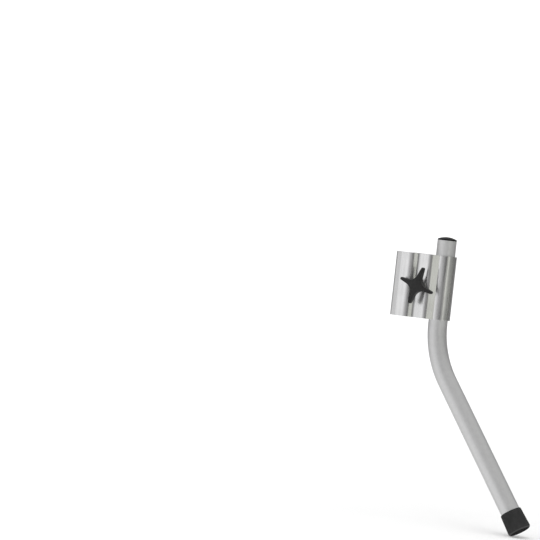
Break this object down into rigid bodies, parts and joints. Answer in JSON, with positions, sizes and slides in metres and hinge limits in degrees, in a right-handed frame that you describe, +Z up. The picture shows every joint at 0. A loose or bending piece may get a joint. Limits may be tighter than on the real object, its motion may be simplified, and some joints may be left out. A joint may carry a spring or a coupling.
{
  "type": "ladder support leg",
  "caption": "Clamp-on support leg for a ladder stile: extruded aluminium jaws with a star knob grip a bent tube that ends in a rubber foot.",
  "frame": {"origin": "middle of the ladder's stile where the jaws hold it, at half the jaws' height", "axes": "+Z up along the stile and the tube's straight upper run, +X outward from the ladder towards the foot, -Y towards the knob"},
  "size_m": [0.2626, 0.09, 0.4416],
  "materials": {
    "jaw_aluminium": "bright mill finish with lengthwise die lines",
    "tube_aluminium": "satin drawn tube",
    "zinc_steel": "zinc plated",
    "insert_brass": "turned",
    "knob_plastic": "fine moulded grain",
    "plug_plastic": "moulded",
    "foot_rubber": "moulded rubber"
  },
  "bodies": {
    "clamp_rear": {"rear_jaw": "jaw_aluminium", "clamp_bolt": "zinc_steel"},
    "clamp_front": {"front_jaw": "jaw_aluminium"},
    "knob": {"knob_body": "knob_plastic", "knob_insert": "insert_brass", "knob_washer": "zinc_steel"},
    "leg_top": {"top_plug": "plug_plastic"},
    "leg": {"leg_tube": "tube_aluminium", "foot": "foot_rubber", "foot_disc": "zinc_steel"}
  },
  "joints": [
    {"name": "jaw_open", "type": "slide", "parent": "clamp_rear", "child": "clamp_front", "axis": [0, -1, 0], "range_m": [0, 0.0125]},
    {"name": "knob_turn", "type": "hinge", "parent": "clamp_front", "child": "knob", "pos_m": [0.02996, 0, 0], "axis": [0, -1, 0], "range_deg": [0, 3600]},
    {"name": "leg_slide", "type": "slide", "parent": "clamp_rear", "child": "leg_top", "axis": [0, 0, 1], "range_m": [-0.0245, 0.005]},
    {"name": "leg_swivel", "type": "hinge", "parent": "leg_top", "child": "leg", "pos_m": [0.05006, 0, 0], "axis": [0, 0, 1], "range_deg": [-115, 115]}
  ],
  "couplings": [
    {"joint": "knob_turn", "follows": "jaw_open", "rad_per_m": 5026.5}
  ]
}
